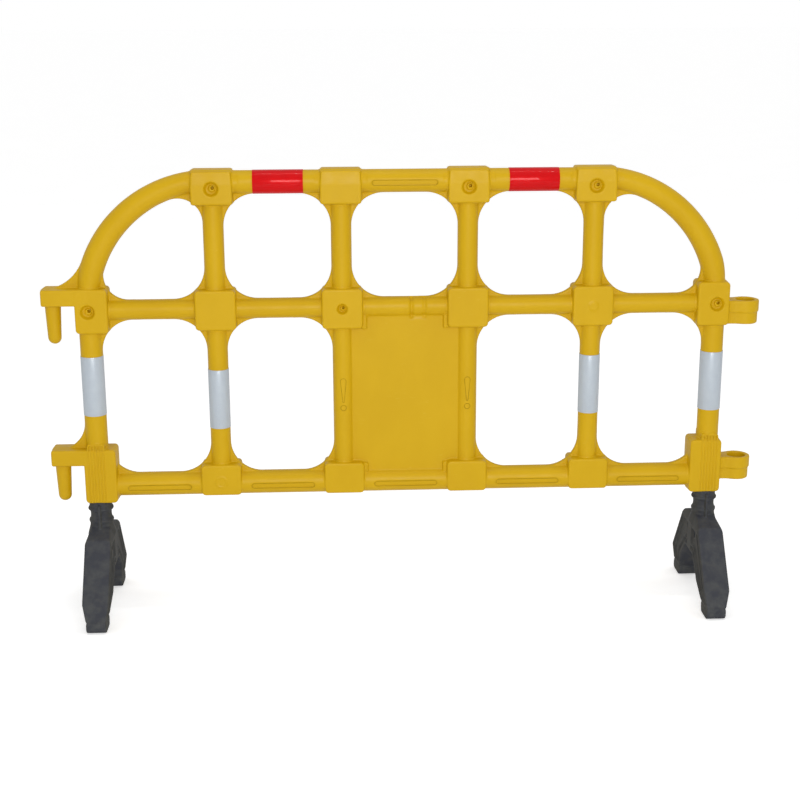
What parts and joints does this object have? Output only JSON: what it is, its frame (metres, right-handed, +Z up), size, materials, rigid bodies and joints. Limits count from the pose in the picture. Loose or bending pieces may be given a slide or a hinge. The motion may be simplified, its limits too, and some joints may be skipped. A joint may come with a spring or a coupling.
{
  "type": "plastic crowd barrier",
  "caption": "Hollow moulded plastic barrier with round shoulders, a small sign panel, link hooks and eyes, reflective sleeves and swivelling rubber feet.",
  "frame": {"origin": "on the ground below the middle of the barrier", "axes": "+X along the barrier from the hook end to the eye end, -Y out of the front, +Z up"},
  "size_m": [1.5, 0.308, 0.954],
  "materials": {
    "yellow_polyethylene": "satin, blow moulded",
    "black_rubber": "matt, moulded",
    "white_reflective_film": "glass-bead reflective, silvery white",
    "red_reflective_film": "glass-bead reflective, red"
  },
  "bodies": {
    "frame": {"top_knuckle_1": "yellow_polyethylene", "top_knuckle_2": "yellow_polyethylene", "top_knuckle_3": "yellow_polyethylene", "top_knuckle_4": "yellow_polyethylene", "top_rail_left": "yellow_polyethylene", "top_rail_centre": "yellow_polyethylene", "top_rail_right": "yellow_polyethylene", "shoulder_left": "yellow_polyethylene", "shoulder_right": "yellow_polyethylene", "upper_post_1": "yellow_polyethylene", "upper_post_2": "yellow_polyethylene", "upper_post_3": "yellow_polyethylene", "upper_post_4": "yellow_polyethylene", "upper_end_left": "yellow_polyethylene", "mid_knuckle_1": "yellow_polyethylene", "mid_knuckle_2": "yellow_polyethylene", "mid_knuckle_3": "yellow_polyethylene", "mid_knuckle_4": "yellow_polyethylene", "upper_end_right": "yellow_polyethylene", "mid_rail_1": "yellow_polyethylene", "mid_rail_2": "yellow_polyethylene", "mid_rail_3": "yellow_polyethylene", "mid_rail_4": "yellow_polyethylene", "mid_rail_5": "yellow_polyethylene", "lower_post_1": "yellow_polyethylene", "lower_post_2": "yellow_polyethylene", "lower_post_3": "yellow_polyethylene", "lower_post_4": "yellow_polyethylene", "lower_post_5": "yellow_polyethylene", "lower_post_6": "yellow_polyethylene", "foot_socket_left": "yellow_polyethylene", "bottom_knuckle_1": "yellow_polyethylene", "bottom_knuckle_2": "yellow_polyethylene", "bottom_knuckle_3": "yellow_polyethylene", "bottom_knuckle_4": "yellow_polyethylene", "foot_socket_right": "yellow_polyethylene", "bottom_rail_1": "yellow_polyethylene", "bottom_rail_2": "yellow_polyethylene", "bottom_rail_3": "yellow_polyethylene", "bottom_rail_4": "yellow_polyethylene", "bottom_rail_5": "yellow_polyethylene", "sign_panel": "yellow_polyethylene", "upper_hook": "yellow_polyethylene", "lower_hook": "yellow_polyethylene", "upper_eye": "yellow_polyethylene", "lower_eye": "yellow_polyethylene", "red_sleeve_left": "red_reflective_film", "red_sleeve_right": "red_reflective_film", "white_sleeve_1": "white_reflective_film", "white_sleeve_2": "white_reflective_film", "white_sleeve_3": "white_reflective_film", "white_sleeve_4": "white_reflective_film"},
    "left_foot": {"left_foot": "black_rubber"},
    "right_foot": {"right_foot": "black_rubber"}
  },
  "joints": [
    {"name": "left_foot_swivel", "type": "hinge", "parent": "frame", "child": "left_foot", "pos_m": [-0.655, 0, 0.245], "axis": [0, 0, 1], "range_deg": [-90, 90]},
    {"name": "right_foot_swivel", "type": "hinge", "parent": "frame", "child": "right_foot", "pos_m": [0.655, 0, 0.245], "axis": [0, 0, 1], "range_deg": [-90, 90]}
  ]
}
